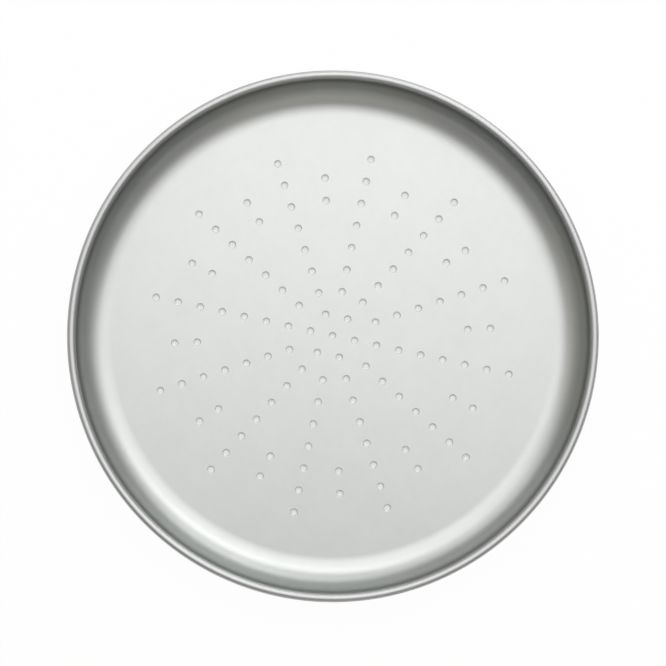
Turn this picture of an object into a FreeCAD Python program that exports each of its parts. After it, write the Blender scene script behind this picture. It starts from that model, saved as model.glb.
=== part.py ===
"""Perforated pizza pan: one pressed aluminium sheet, its rim curled outward round a steel wire.

Millimetres and degrees. Z is the pan's axis, pointing up, and the origin is the middle of its underside.
Section points are (radius, height) pairs in the XZ half-plane, and every piece is revolved from them.
"""
import FreeCAD, Part
import math
import os

# Pan body
RIM_DIAMETER = 322.0  # over the curled rim
HEIGHT = 25.0  # underside of the floor to the top of the rim
SHEET = 1.0  # thickness of the sheet, everywhere
WALL_LEAN = 3.0  # of the wall from vertical, outward
COVE_RADIUS = 18.5  # inner face, between floor and wall
COVE_SHARE = 0.9  # most of the rise from the floor to the rim's wire that the cove may take up

# Rim
WIRE_DIAMETER = 2.8
WIRE_CLEARANCE = 0.15  # between the wire and the curl, all round
WIRE_BUTT_GAP = 0.8  # between the cut ends of the wire
CURL_EDGE_GAP = 0.3  # between the curl's free edge and the outside of the wall

# Perforation: holes on evenly spaced rings, in long and short spokes
HOLE_DIAMETER = 4.2
RINGS = 8
PLAIN_BAND = 25.2  # flat floor between the outermost ring and the cove
SPOKES = 12  # of each kind; short spokes lie halfway between long ones
SHORT_SPOKE_HOLES = 2
CUT_MARGIN = 1.0  # by which the punches stand proud of both faces of the sheet

# Worked out from the sizes above
BEAD_INNER = WIRE_DIAMETER / 2 + WIRE_CLEARANCE
BEAD_OUTER = BEAD_INNER + SHEET
BEAD_CENTRE = (RIM_DIAMETER / 2 - BEAD_OUTER, HEIGHT - BEAD_OUTER)
LEAN = math.radians(WALL_LEAN)
COVE_INNER = min(COVE_RADIUS, COVE_SHARE * (BEAD_CENTRE[1] - SHEET))
COVE_HEIGHT = SHEET + COVE_INNER  # of the cove's centre
FLOOR_RADIUS = BEAD_CENTRE[0] - (
    BEAD_OUTER + COVE_INNER + (BEAD_CENTRE[1] - COVE_HEIGHT) * math.sin(LEAN)
) / math.cos(LEAN)
COVE_CENTRE = (FLOOR_RADIUS, COVE_HEIGHT)
CURL_TURN = 2 * math.pi - math.acos((BEAD_INNER - CURL_EDGE_GAP) / BEAD_OUTER)
RING_PITCH = (FLOOR_RADIUS - PLAIN_BAND) / RINGS


def vector(point):
    """The XZ-plane vector of a (radius, height) pair."""
    return FreeCAD.Vector(point[0], 0, point[1])


def on_circle(centre, radius, angle):
    """The (radius, height) pair at an angle, anticlockwise from the outward direction."""
    return (centre[0] + radius * math.cos(angle), centre[1] + radius * math.sin(angle))


def line(start, end):
    return Part.LineSegment(vector(start), vector(end)).toShape()


def arc(centre, radius, start, end):
    """An arc of a circle between two angles, in the order given."""
    angles = (start, (start + end) / 2, end)
    return Part.Arc(*(vector(on_circle(centre, radius, a)) for a in angles)).toShape()


def sheet_section():
    """The sheet's closed section: the food side outward to the curl's edge, then back on the other side."""
    wall_side = math.pi - LEAN  # direction of the wall as seen from the bead's centre
    curl_edge = wall_side - CURL_TURN
    cove_start, cove_end = -math.pi / 2, -LEAN
    cove_outer = COVE_INNER + SHEET

    def wall(bead_radius, cove_radius):
        return on_circle(BEAD_CENTRE, bead_radius, wall_side), on_circle(COVE_CENTRE, cove_radius, cove_end)

    inner_top, inner_foot = wall(BEAD_OUTER, COVE_INNER)
    outer_top, outer_foot = wall(BEAD_INNER, cove_outer)
    return Part.Wire([
        line((0, SHEET), (FLOOR_RADIUS, SHEET)),
        arc(COVE_CENTRE, COVE_INNER, cove_start, cove_end),
        line(inner_foot, inner_top),
        arc(BEAD_CENTRE, BEAD_OUTER, wall_side, curl_edge),
        line(on_circle(BEAD_CENTRE, BEAD_OUTER, curl_edge), on_circle(BEAD_CENTRE, BEAD_INNER, curl_edge)),
        arc(BEAD_CENTRE, BEAD_INNER, curl_edge, wall_side),
        line(outer_top, outer_foot),
        arc(COVE_CENTRE, cove_outer, cove_end, cove_start),
        line((FLOOR_RADIUS, 0), (0, 0)),
        line((0, 0), (0, SHEET)),
    ])


def hole_centres():
    """Plan positions of the punched holes: one in the middle, then the long and the short spokes."""
    step = 2 * math.pi / SPOKES
    centres = [(0, 0)]
    for spoke in range(SPOKES):
        long_angle = (spoke + 0.5) * step
        short_angle = spoke * step
        innermost = 1 if spoke % 2 else 2  # every other long spoke stops a ring short of the middle
        for ring in range(innermost, RINGS + 1):
            centres.append((ring, long_angle))
        for ring in range(RINGS - SHORT_SPOKE_HOLES, RINGS):
            centres.append((ring, short_angle))
    return [(ring * RING_PITCH * math.cos(a), ring * RING_PITCH * math.sin(a)) for ring, a in centres]


def revolved(wire, degrees=360):
    axis = FreeCAD.Vector(0, 0, 1)
    return Part.Face(wire).revolve(FreeCAD.Vector(0, 0, 0), axis, degrees)


def pan_body():
    """The pressed sheet with its holes."""
    length = SHEET + 2 * CUT_MARGIN
    punches = [
        Part.makeCylinder(HOLE_DIAMETER / 2, length, FreeCAD.Vector(x, y, -CUT_MARGIN))
        for x, y in hole_centres()
    ]
    return revolved(sheet_section()).cut(Part.makeCompound(punches))


def rim_wire():
    """The wire ring inside the curl, its cut ends butted in line with a long spoke of holes."""
    section = Part.Circle(vector(BEAD_CENTRE), FreeCAD.Vector(0, 1, 0), WIRE_DIAMETER / 2).toShape()
    gap = math.degrees(WIRE_BUTT_GAP / BEAD_CENTRE[0])
    ring = revolved(Part.Wire(section), 360 - gap)
    ring.rotate(FreeCAD.Vector(0, 0, 0), FreeCAD.Vector(0, 0, 1), 180 / SPOKES + gap / 2)
    return ring


os.makedirs("parts", exist_ok=True)
for name, make in (("pan_body", pan_body), ("rim_wire", rim_wire)):
    make().exportStep(f"parts/{name}.step")
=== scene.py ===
import math

import bmesh
import bpy
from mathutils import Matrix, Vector, geometry


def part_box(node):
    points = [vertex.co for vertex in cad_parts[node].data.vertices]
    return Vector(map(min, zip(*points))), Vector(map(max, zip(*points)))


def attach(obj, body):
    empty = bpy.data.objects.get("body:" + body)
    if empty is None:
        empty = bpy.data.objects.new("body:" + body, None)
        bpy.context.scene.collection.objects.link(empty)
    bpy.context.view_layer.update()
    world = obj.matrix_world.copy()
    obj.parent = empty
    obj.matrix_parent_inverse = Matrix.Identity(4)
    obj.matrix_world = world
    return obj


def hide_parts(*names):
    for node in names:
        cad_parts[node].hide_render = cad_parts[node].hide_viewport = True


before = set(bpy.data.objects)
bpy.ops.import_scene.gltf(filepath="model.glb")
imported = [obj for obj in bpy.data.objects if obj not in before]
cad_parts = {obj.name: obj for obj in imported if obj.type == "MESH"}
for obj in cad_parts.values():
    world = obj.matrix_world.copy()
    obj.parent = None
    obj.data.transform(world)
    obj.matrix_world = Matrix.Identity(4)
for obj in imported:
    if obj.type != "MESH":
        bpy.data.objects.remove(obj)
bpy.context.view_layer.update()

MM = 0.001

# Sheet, as the solids have it, with a rounded free edge
SHEET = 1.0 * MM
WALL_LEAN = math.radians(3.0)  # from vertical, outward
COVE_RADIUS = 18.5 * MM  # inner face
CURL_EDGE_GAP = 0.3 * MM  # between the curl's free edge and the outside of the wall
CURL_EDGE_ROUND = 0.2 * MM  # on both corners of that edge

# Perforation, as the solids have it, with the rounding that a punch leaves
HOLE_RADIUS = 2.1 * MM
PUNCH_ROUND = 0.3 * MM  # on the food side, where the punch went in
BURR_ROUND = 0.04 * MM  # on the underside
RINGS = 8
PLAIN_BAND = 25.2 * MM  # flat floor between the outermost ring and the cove
SPOKES = 12  # of each kind; short spokes lie halfway between long ones
SHORT_SPOKE_HOLES = 2

# Fineness of the mesh
TURN_STEPS = 400  # round the pan
COVE_STEPS = 20
WALL_STEPS = 4
BEAD_STEPS = 32
EDGE_STEPS = 4
HOLE_STEPS = 32  # round each hole
PUNCH_STEPS = 4
BURR_STEPS = 2
FLAT_RIM = 0.25 * MM  # flat band that ends each rounding, so the floor's shading stays level
HOLE_LAND = HOLE_RADIUS + PUNCH_ROUND + FLAT_RIM  # radius at which that band meets the rest of the floor
FLOOR_GRID = 6.0 * MM  # spacing of the points between the holes
SAME_POINT = 0.001 * MM  # points nearer to each other than this are one

# Rim, from the solids
PAN_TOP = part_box("pan_body")[1].z
WIRE_LOW, WIRE_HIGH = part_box("rim_wire")
WIRE_RADIUS = (WIRE_HIGH.z - WIRE_LOW.z) / 2
BEAD_CENTRE = (WIRE_HIGH.x - WIRE_RADIUS, (WIRE_HIGH.z + WIRE_LOW.z) / 2)
BEAD_OUTER = PAN_TOP - BEAD_CENTRE[1]
BEAD_INNER = BEAD_OUTER - SHEET
CURL_TURN = 2 * math.pi - math.acos((BEAD_INNER - CURL_EDGE_GAP) / BEAD_OUTER)
COVE_HEIGHT = SHEET + COVE_RADIUS
FLOOR_RADIUS = BEAD_CENTRE[0] - (
    BEAD_OUTER + COVE_RADIUS + (BEAD_CENTRE[1] - COVE_HEIGHT) * math.sin(WALL_LEAN)
) / math.cos(WALL_LEAN)
COVE_CENTRE = (FLOOR_RADIUS, COVE_HEIGHT)
RING_PITCH = (FLOOR_RADIUS - PLAIN_BAND) / RINGS

# Photograph
PHOTO_SIDE = 666  # pixels
FOCAL_LENGTH = 80.0  # millimetres, on the sensor below
SENSOR = 36.0
RING_PITCH_PX = 22.574  # from one ring of holes to the next
PAN_CENTRE_PX = (332.0, 335.4)  # where the pan's axis meets the floor
PHOTO_TURN = math.radians(2.68)  # of the pan, anticlockwise
LENS_ASIDE = (-10.0 * MM, 12.0 * MM)  # from the pan's axis, right and up in the picture

# Studio, with angles in degrees
LAMP_DISTANCE = 2.2
WHITE = (1, 1, 1)
WARM = (1, 0.95, 0.77)
COOL = (0.94, 0.99, 1)
SOFTBOXES = (  # azimuth from +X towards +Y, angle from overhead, width and height, brightness, colour
    ("overhead_wide", 80, 6, (3.2, 2.6), 0.70, WHITE),
    ("overhead_mid", 90, 3, (1.8, 0.9), 0.35, WHITE),
    ("overhead_back", 90, 14, (1.2, 0.8), 0.48, WHITE),
    ("back_key", 67, 40, (2.0, 0.9), 1.32, WHITE),
    ("back_right", 45, 55, (2.2, 1.6), 0.51, WHITE),
    ("back_left", 125, 55, (2.0, 2.0), 0.76, WHITE),
    ("back_low", 70, 78, (2.4, 0.9), 1.18, COOL),
    ("right_high", 0, 34, (1.0, 1.0), 0.56, WHITE),
    ("right_low", 0, 56, (1.2, 1.0), 0.41, COOL),
    ("left_low", 180, 56, (1.2, 1.0), 0.32, WARM),
    ("front_low", 270, 58, (1.4, 1.0), 0.30, WARM),
)
ROOM_BRIGHTNESS = 0.26

# Metal
SHEET_COLOURS = ((0.589, 0.601, 0.583, 1), (0.621, 0.633, 0.615, 1))  # ends of a faint cloudiness
CURL_PAINTED_SHADE = (0.92, 0.905, 0.926, 1)  # multiplies those colours on the curl: painted shade, a little darker and less green there
SHEET_ROUGHNESS = (0.34, 0.42)
GRAZING_TINT = (0.3, 0.3, 0.3, 1)  # the oxide darkens the sheet where it is seen edge-on
OXIDE = 0.005 * MM  # depth of the finish on both faces; the cut edges of the holes are bare
BARE_COLOUR = (0.6, 0.6, 0.6, 1)
WIRE_COLOURS = ((0.50, 0.51, 0.53, 1), (0.64, 0.65, 0.66, 1))
WIRE_ROUGHNESS = (0.35, 0.6)

# Texture of the metals: noises in cells per metre, then their octaves
CLOUDS = 30.0
GRAINS = 2400.0
LINES = 1100.0  # left by forming
SPANGLES = 600.0  # on the wire's zinc
CLOUD_DETAIL = 6.0  # octaves
FINE_DETAIL = 2.0  # of all the other noises
CLOUD_FINENESS = 0.85  # strength of each octave beside the one before
FINENESS = 0.5
NOISE_SPAN = (0.3, 0.7)  # in which nearly all of a noise lies
FORMED_SPAN = (2 * MM, 10 * MM)  # heights over which the forming lines fade in
LINE_SHARE = 0.6  # height of the forming lines beside the grain
RELIEF = 0.01 * MM  # of the grain
RELIEF_STRENGTH = 0.25

# Paper that the pan lies on
SWEEP_RADIUS = 4.0
SWEEP_STEPS = 96
SWEEP_DROP = 0.3 * MM  # below the pan, so that the two share no plane
PAPER = (0.91, 0.926, 0.916, 1)
PAPER_WHITE = 0.96  # share of pure white that is seen round the pan; the rest shows the shadow
UNDER_PAN_WHITE = {  # the same share under the pan, for each kind of ray
    "Is Camera Ray": 0.0,
    "Is Glossy Ray": 0.5,
    "Is Transmission Ray": 0.5,
}
WHITE_LIGHT = {"Color": (1, 1, 1, 1), "Strength": 1.0}


def on_circle(centre, radius, angle):
    return (centre[0] + radius * math.cos(angle), centre[1] + radius * math.sin(angle))


def arc_points(centre, radius, start, end, steps):
    """Points of an arc from one angle to another, both ends included."""
    return [on_circle(centre, radius, start + (end - start) * i / steps) for i in range(steps + 1)]


def between(start, end, steps):
    """Points strictly between two points."""
    return [
        tuple(a + (b - a) * i / steps for a, b in zip(start, end))
        for i in range(1, steps)
    ]


def curl_edge_points(angle):
    """The curl's free edge at an angle on the bead, its two corners rounded."""
    outer = on_circle(BEAD_CENTRE, BEAD_OUTER - CURL_EDGE_ROUND, angle + CURL_EDGE_ROUND / BEAD_OUTER)
    inner = on_circle(BEAD_CENTRE, BEAD_INNER + CURL_EDGE_ROUND, angle + CURL_EDGE_ROUND / BEAD_INNER)
    quarter = math.pi / 2
    return (
        arc_points(outer, CURL_EDGE_ROUND, angle, angle - quarter, EDGE_STEPS)
        + arc_points(inner, CURL_EDGE_ROUND, angle - quarter, angle - 2 * quarter, EDGE_STEPS)
    )


def sheet_section():
    """The sheet's outline from the floor's edge along the food side, round the curl and back underneath."""
    wall_side = math.pi - WALL_LEAN  # direction of the wall as seen from the bead's centre
    curl_edge = wall_side - CURL_TURN
    down, wall_foot = -math.pi / 2, -WALL_LEAN
    inner_cove = arc_points(COVE_CENTRE, COVE_RADIUS, down, wall_foot, COVE_STEPS)
    outer_cove = arc_points(COVE_CENTRE, COVE_RADIUS + SHEET, wall_foot, down, COVE_STEPS)
    outer_end = curl_edge + 2 * CURL_EDGE_ROUND / BEAD_OUTER
    inner_end = curl_edge + 2 * CURL_EDGE_ROUND / BEAD_INNER
    outer_bead = arc_points(BEAD_CENTRE, BEAD_OUTER, wall_side, outer_end, BEAD_STEPS)
    inner_bead = arc_points(BEAD_CENTRE, BEAD_INNER, inner_end, wall_side, BEAD_STEPS)
    return (
        [(FLOOR_RADIUS - FLAT_RIM, SHEET)]
        + inner_cove
        + between(inner_cove[-1], outer_bead[0], WALL_STEPS)
        + outer_bead
        + curl_edge_points(curl_edge)
        + inner_bead
        + between(inner_bead[-1], outer_cove[0], WALL_STEPS)
        + outer_cove
        + [(FLOOR_RADIUS - FLAT_RIM, 0.0)]
    )


def hole_section():
    """A hole's outline from the flat food side, over the punched edge and down, to the flat underside."""
    mouth = HOLE_RADIUS + PUNCH_ROUND
    top = arc_points((mouth, SHEET - PUNCH_ROUND), PUNCH_ROUND, math.pi / 2, math.pi, PUNCH_STEPS)
    burr_centre = (HOLE_RADIUS + BURR_ROUND, BURR_ROUND)
    bottom = arc_points(burr_centre, BURR_ROUND, math.pi, math.pi * 3 / 2, BURR_STEPS)
    return [(HOLE_LAND, SHEET)] + top + bottom + [(HOLE_LAND, 0.0)]


def hole_centres():
    """Plan positions of the holes: one in the middle, then the long and the short spokes."""
    step = 2 * math.pi / SPOKES
    places = [(0, 0.0)]
    for spoke in range(SPOKES):
        innermost = 1 if spoke % 2 else 2  # every other long spoke stops a ring short of the middle
        places += [(ring, (spoke + 0.5) * step) for ring in range(innermost, RINGS + 1)]
        places += [(ring, spoke * step) for ring in range(RINGS - SHORT_SPOKE_HOLES, RINGS)]
    return [Vector((ring * RING_PITCH * math.cos(a), ring * RING_PITCH * math.sin(a))) for ring, a in places]


def revolve(mesh, section, steps, centre=Vector((0, 0))):
    """Turns a section about a vertical line, and returns its first and last rings of vertices."""
    turns = [2 * math.pi * i / steps for i in range(steps)]
    rings = [
        [mesh.verts.new((centre.x + r * math.cos(a), centre.y + r * math.sin(a), z)) for a in turns]
        for r, z in section
    ]
    for ring, following in zip(rings, rings[1:]):
        for i in range(steps):
            mesh.faces.new((ring[i - 1], ring[i], following[i], following[i - 1]))
    return rings[0], rings[-1]


def floor_grid(centres):
    """Evenly spread points between the holes, so that the floor's triangles are well shaped."""
    clear = HOLE_LAND + FLOOR_GRID / 4
    points = []
    for ring in range(1, int((FLOOR_RADIUS - FLOOR_GRID / 2) / FLOOR_GRID) + 1):
        count = round(2 * math.pi * ring)
        for i in range(count):
            angle = 2 * math.pi * i / count
            point = Vector((math.cos(angle), math.sin(angle))) * ring * FLOOR_GRID
            if all((point - c).length > clear for c in centres):
                points.append(point)
    return points


def fill_floor(mesh, edge_rings, hole_rings, centres):
    """Closes the flat floor, top and bottom, between its edge and the holes."""
    loops = [edge_rings] + hole_rings
    grid = floor_grid(centres)
    heights = (SHEET, 0.0)
    sides = [[v for loop in loops for v in loop[side]] for side in (0, 1)]
    flat = [v.co.xy for v in sides[0]] + grid
    edges = []
    start = 0
    for loop in loops:
        count = len(loop[0])
        edges += [(start + i, start + (i + 1) % count) for i in range(count)]
        start += count
    for side, height in zip(sides, heights):
        side += [mesh.verts.new((p.x, p.y, height)) for p in grid]
    found = geometry.delaunay_2d_cdt(flat, edges, [], 0, SAME_POINT)
    coords, triangles, origins = found[0], found[2], found[3]
    opening = HOLE_LAND * math.cos(math.pi / HOLE_STEPS)  # to the flats of a hole's many-sided ring
    for triangle in triangles:
        middle = sum((coords[i] for i in triangle), Vector((0, 0))) / len(triangle)
        if any((middle - c).length < opening for c in centres):
            continue
        corners = [origins[i][0] for i in triangle]
        mesh.faces.new([sides[0][i] for i in corners])
        mesh.faces.new([sides[1][i] for i in reversed(corners)])


def build_pan_sheet():
    """The pressed sheet as one closed mesh."""
    mesh = bmesh.new()
    centres = hole_centres()
    edge_rings = revolve(mesh, sheet_section(), TURN_STEPS)
    hole_rings = [revolve(mesh, hole_section(), HOLE_STEPS, c) for c in centres]
    fill_floor(mesh, edge_rings, hole_rings, centres)
    bmesh.ops.recalc_face_normals(mesh, faces=mesh.faces)
    for face in mesh.faces:
        face.smooth = True
    data = bpy.data.meshes.new("pan_sheet")
    mesh.to_mesh(data)
    mesh.free()
    piece = bpy.data.objects.new("pan_sheet", data)
    bpy.context.scene.collection.objects.link(piece)
    return piece


def add_node(tree, kind, inputs=None, **settings):
    """A shader node with its settings, and its inputs set to values or linked to other nodes' outputs."""
    node = tree.nodes.new(kind)
    for name, value in settings.items():
        setattr(node, name, value)
    for name, value in (inputs or {}).items():
        if isinstance(value, bpy.types.NodeSocket):
            tree.links.new(value, node.inputs[name])
        else:
            node.inputs[name].default_value = value
    return node


def new_material(name):
    """A material with an empty node tree and an output node."""
    material = bpy.data.materials.new(name)
    material.use_nodes = True
    material.node_tree.nodes.clear()
    return material, material.node_tree, material.node_tree.nodes.new("ShaderNodeOutputMaterial")


def calculate(tree, operation, *values):
    """The result of a Math node on numbers or sockets."""
    return add_node(tree, "ShaderNodeMath", dict(enumerate(values)), operation=operation).outputs[0]


def carry(tree, value, span, to=(0.0, 1.0)):
    """A value carried from one span to another, and held at its ends."""
    inputs = {"Value": value, "From Min": span[0], "From Max": span[1], "To Min": to[0], "To Max": to[1]}
    return add_node(tree, "ShaderNodeMapRange", inputs).outputs[0]


def noise(tree, place, cells, detail=FINE_DETAIL, fineness=FINENESS):
    """A noise in space, or along a single length."""
    along = place.type == "VALUE"
    inputs = {"W" if along else "Vector": place, "Scale": cells, "Detail": detail, "Roughness": fineness}
    return add_node(tree, "ShaderNodeTexNoise", inputs, noise_dimensions="1D" if along else "3D").outputs[0]


def blend(tree, factor, first, second, mode="MIX"):
    """A colour between two others, or their product."""
    inputs = {"Factor": factor, "A": first, "B": second}
    return add_node(tree, "ShaderNodeMix", inputs, data_type="RGBA", blend_type=mode).outputs["Result"]


def embossed(tree, relief):
    """The surface direction on a slight relief."""
    inputs = {"Height": relief, "Strength": RELIEF_STRENGTH, "Distance": RELIEF}
    return add_node(tree, "ShaderNodeBump", inputs).outputs[0]


def metal(tree, colour, rough, **inputs):
    """A metal surface; further inputs are named with underscores for spaces."""
    settings = {"Base Color": colour, "Roughness": rough, "Metallic": 1.0}
    settings.update({name.replace("_", " "): value for name, value in inputs.items()})
    return add_node(tree, "ShaderNodeBsdfPrincipled", settings).outputs[0]


def surface_mix(tree, factor, first, second):
    return add_node(tree, "ShaderNodeMixShader", {0: factor, 1: first, 2: second}).outputs[0]


def distance_from_axis(tree, place):
    """Distance from the pan's axis, at any height."""
    plan = add_node(tree, "ShaderNodeVectorMath", {0: place, 1: (1, 1, 0)}, operation="MULTIPLY").outputs[0]
    return add_node(tree, "ShaderNodeVectorMath", {0: plan}, operation="LENGTH").outputs["Value"]


def sheet_colour(tree, place, radius):
    """Faintly cloudy, with painted shade on the curl that makes it a little darker and less green."""
    cloud = carry(tree, noise(tree, place, CLOUDS, CLOUD_DETAIL, CLOUD_FINENESS), NOISE_SPAN)
    # painted shade: a mask over the curl, where the sheet colours are darkened
    curl = carry(tree, radius, (BEAD_CENTRE[0] - BEAD_OUTER, BEAD_CENTRE[0] - BEAD_INNER))
    return blend(tree, curl, blend(tree, cloud, *SHEET_COLOURS), CURL_PAINTED_SHADE, "MULTIPLY")


def sheet_relief(tree, radius, height, grain):
    """Fine grain all over, with rings of forming lines from the cove up."""
    lines = noise(tree, calculate(tree, "ADD", radius, height), LINES)
    formed = carry(tree, height, FORMED_SPAN, (0.0, LINE_SHARE))
    return embossed(tree, calculate(tree, "MULTIPLY_ADD", lines, formed, grain))


def inside_holes(tree, radius, height):
    """One between the two faces of the floor, where only the cut edges of the holes are; else nought."""
    between_faces = calculate(tree, "COMPARE", height, SHEET / 2, SHEET / 2 - OXIDE)
    return calculate(tree, "MULTIPLY", between_faces, calculate(tree, "LESS_THAN", radius, FLOOR_RADIUS))


def satin_aluminium():
    """Anodised sheet, with bare metal in the holes."""
    material, tree, output = new_material("satin_aluminium")
    place = add_node(tree, "ShaderNodeTexCoord").outputs["Object"]
    radius = distance_from_axis(tree, place)
    height = add_node(tree, "ShaderNodeSeparateXYZ", {"Vector": place}).outputs["Z"]
    grain = noise(tree, place, GRAINS)
    rough = carry(tree, grain, NOISE_SPAN, SHEET_ROUGHNESS)
    colour = sheet_colour(tree, place, radius)
    relief = sheet_relief(tree, radius, height, grain)
    finished = metal(tree, colour, rough, Specular_Tint=GRAZING_TINT, Normal=relief)
    bare = metal(tree, BARE_COLOUR, rough)
    sheet = surface_mix(tree, inside_holes(tree, radius, height), finished, bare)
    tree.links.new(sheet, output.inputs["Surface"])
    return material


def zinc_wire():
    """Drawn wire with a dull, slightly mottled zinc coat."""
    material, tree, output = new_material("zinc_wire")
    place = add_node(tree, "ShaderNodeTexCoord").outputs["Object"]
    spangle = carry(tree, noise(tree, place, SPANGLES), NOISE_SPAN)
    rough = carry(tree, spangle, (0.0, 1.0), WIRE_ROUGHNESS)
    coat = metal(tree, blend(tree, spangle, *WIRE_COLOURS), rough, Normal=embossed(tree, spangle))
    tree.links.new(coat, output.inputs["Surface"])
    return material


def white_share(tree, shares):
    """How much pure white is seen, from the share for each kind of ray; nought for all other rays."""
    path = add_node(tree, "ShaderNodeLightPath")
    most = 0.0
    for ray, share in shares.items():
        most = calculate(tree, "MAXIMUM", most, calculate(tree, "MULTIPLY", path.outputs[ray], share))
    return most


def paper_shares(tree, radius):
    """For each kind of ray, the paper's share of pure white, under the pan and round it."""
    edge = (FLOOR_RADIUS, BEAD_CENTRE[0])
    return {ray: carry(tree, radius, edge, (share, PAPER_WHITE)) for ray, share in UNDER_PAN_WHITE.items()}


def studio_floor():
    """A wide white sweep, shown as paper white round the pan and lit plainly where the pan covers it."""
    bpy.ops.mesh.primitive_circle_add(
        vertices=SWEEP_STEPS, radius=SWEEP_RADIUS, fill_type="NGON", location=(0, 0, -SWEEP_DROP)
    )
    floor = bpy.context.object
    floor.name = "studio_floor"
    material, tree, output = new_material("white_sweep")
    radius = distance_from_axis(tree, add_node(tree, "ShaderNodeTexCoord").outputs["Object"])
    paper = add_node(tree, "ShaderNodeBsdfDiffuse", {"Color": PAPER}).outputs[0]
    glow = add_node(tree, "ShaderNodeEmission", WHITE_LIGHT).outputs[0]
    lit = surface_mix(tree, white_share(tree, paper_shares(tree, radius)), paper, glow)
    from_below = add_node(tree, "ShaderNodeNewGeometry").outputs["Backfacing"]
    clear = add_node(tree, "ShaderNodeBsdfTransparent").outputs[0]
    tree.links.new(surface_mix(tree, from_below, lit, clear), output.inputs["Surface"])
    floor.data.materials.append(material)
    return floor


def studio_world():
    """Dim grey surroundings. The camera sees them white, as do reflections below the horizon, like paper."""
    world = bpy.data.worlds.new("studio")
    bpy.context.scene.world = world
    world.use_nodes = True
    tree = world.node_tree
    tree.nodes.clear()
    direction = add_node(tree, "ShaderNodeTexCoord").outputs["Generated"]
    upward = add_node(tree, "ShaderNodeSeparateXYZ", {"Vector": direction}).outputs["Z"]
    below = calculate(tree, "LESS_THAN", upward, 0.0)
    share = white_share(tree, {"Is Camera Ray": 1.0, "Is Glossy Ray": below, "Is Transmission Ray": below})
    room = add_node(tree, "ShaderNodeBackground", {**WHITE_LIGHT, "Strength": ROOM_BRIGHTNESS}).outputs[0]
    white = add_node(tree, "ShaderNodeBackground", WHITE_LIGHT).outputs[0]
    output = add_node(tree, "ShaderNodeOutputWorld")
    tree.links.new(surface_mix(tree, share, room, white), output.inputs["Surface"])


def softbox(name, location, size, radiance, colour):
    """A rectangular area lamp of even brightness, facing the pan's middle."""
    lamp = bpy.data.lights.new(name, "AREA")
    lamp.shape = "RECTANGLE"
    lamp.size, lamp.size_y = size
    lamp.energy = radiance * math.pi * size[0] * size[1]
    lamp.color = colour
    box = bpy.data.objects.new(name, lamp)
    box.location = location
    box.rotation_euler = (-Vector(location)).to_track_quat("-Z", "Y").to_euler()
    box.visible_camera = False
    bpy.context.scene.collection.objects.link(box)
    return box


def studio_lamps():
    """Softboxes all round at one distance, each facing the pan."""
    for name, azimuth, zenith, size, radiance, colour in SOFTBOXES:
        turn, drop = math.radians(azimuth), math.radians(zenith)
        flat = LAMP_DISTANCE * math.sin(drop)
        place = (flat * math.cos(turn), flat * math.sin(turn), LAMP_DISTANCE * math.cos(drop))
        softbox(name, place, size, radiance, colour)


def photo_camera():
    """A camera straight above, at the height and turn that give the photograph's hole pattern."""
    data = bpy.data.cameras.new("photo_camera")
    data.lens = FOCAL_LENGTH
    data.sensor_width = SENSOR
    camera = bpy.data.objects.new("photo_camera", data)
    focal_px = FOCAL_LENGTH / SENSOR * PHOTO_SIDE
    scale = RING_PITCH / RING_PITCH_PX  # metres per pixel on the floor
    middle = (PHOTO_SIDE - 1) / 2
    right = Vector((math.cos(PHOTO_TURN), -math.sin(PHOTO_TURN), 0))
    up = Vector((math.sin(PHOTO_TURN), math.cos(PHOTO_TURN), 0))
    height = Vector((0, 0, focal_px * scale + SHEET))
    camera.location = right * LENS_ASIDE[0] + up * LENS_ASIDE[1] + height
    camera.rotation_euler = (0, 0, -PHOTO_TURN)
    data.shift_x = (middle - PAN_CENTRE_PX[0] - LENS_ASIDE[0] / scale) / PHOTO_SIDE
    data.shift_y = (PAN_CENTRE_PX[1] - middle - LENS_ASIDE[1] / scale) / PHOTO_SIDE
    bpy.context.scene.collection.objects.link(camera)
    bpy.context.scene.camera = camera


pan_sheet = build_pan_sheet()
pan_sheet.data.materials.append(satin_aluminium())
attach(pan_sheet, "root")
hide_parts("pan_body")
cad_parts["rim_wire"].data.materials.clear()
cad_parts["rim_wire"].data.materials.append(zinc_wire())
studio_floor()
studio_world()
studio_lamps()
photo_camera()
bpy.context.scene.view_settings.view_transform = "Standard"
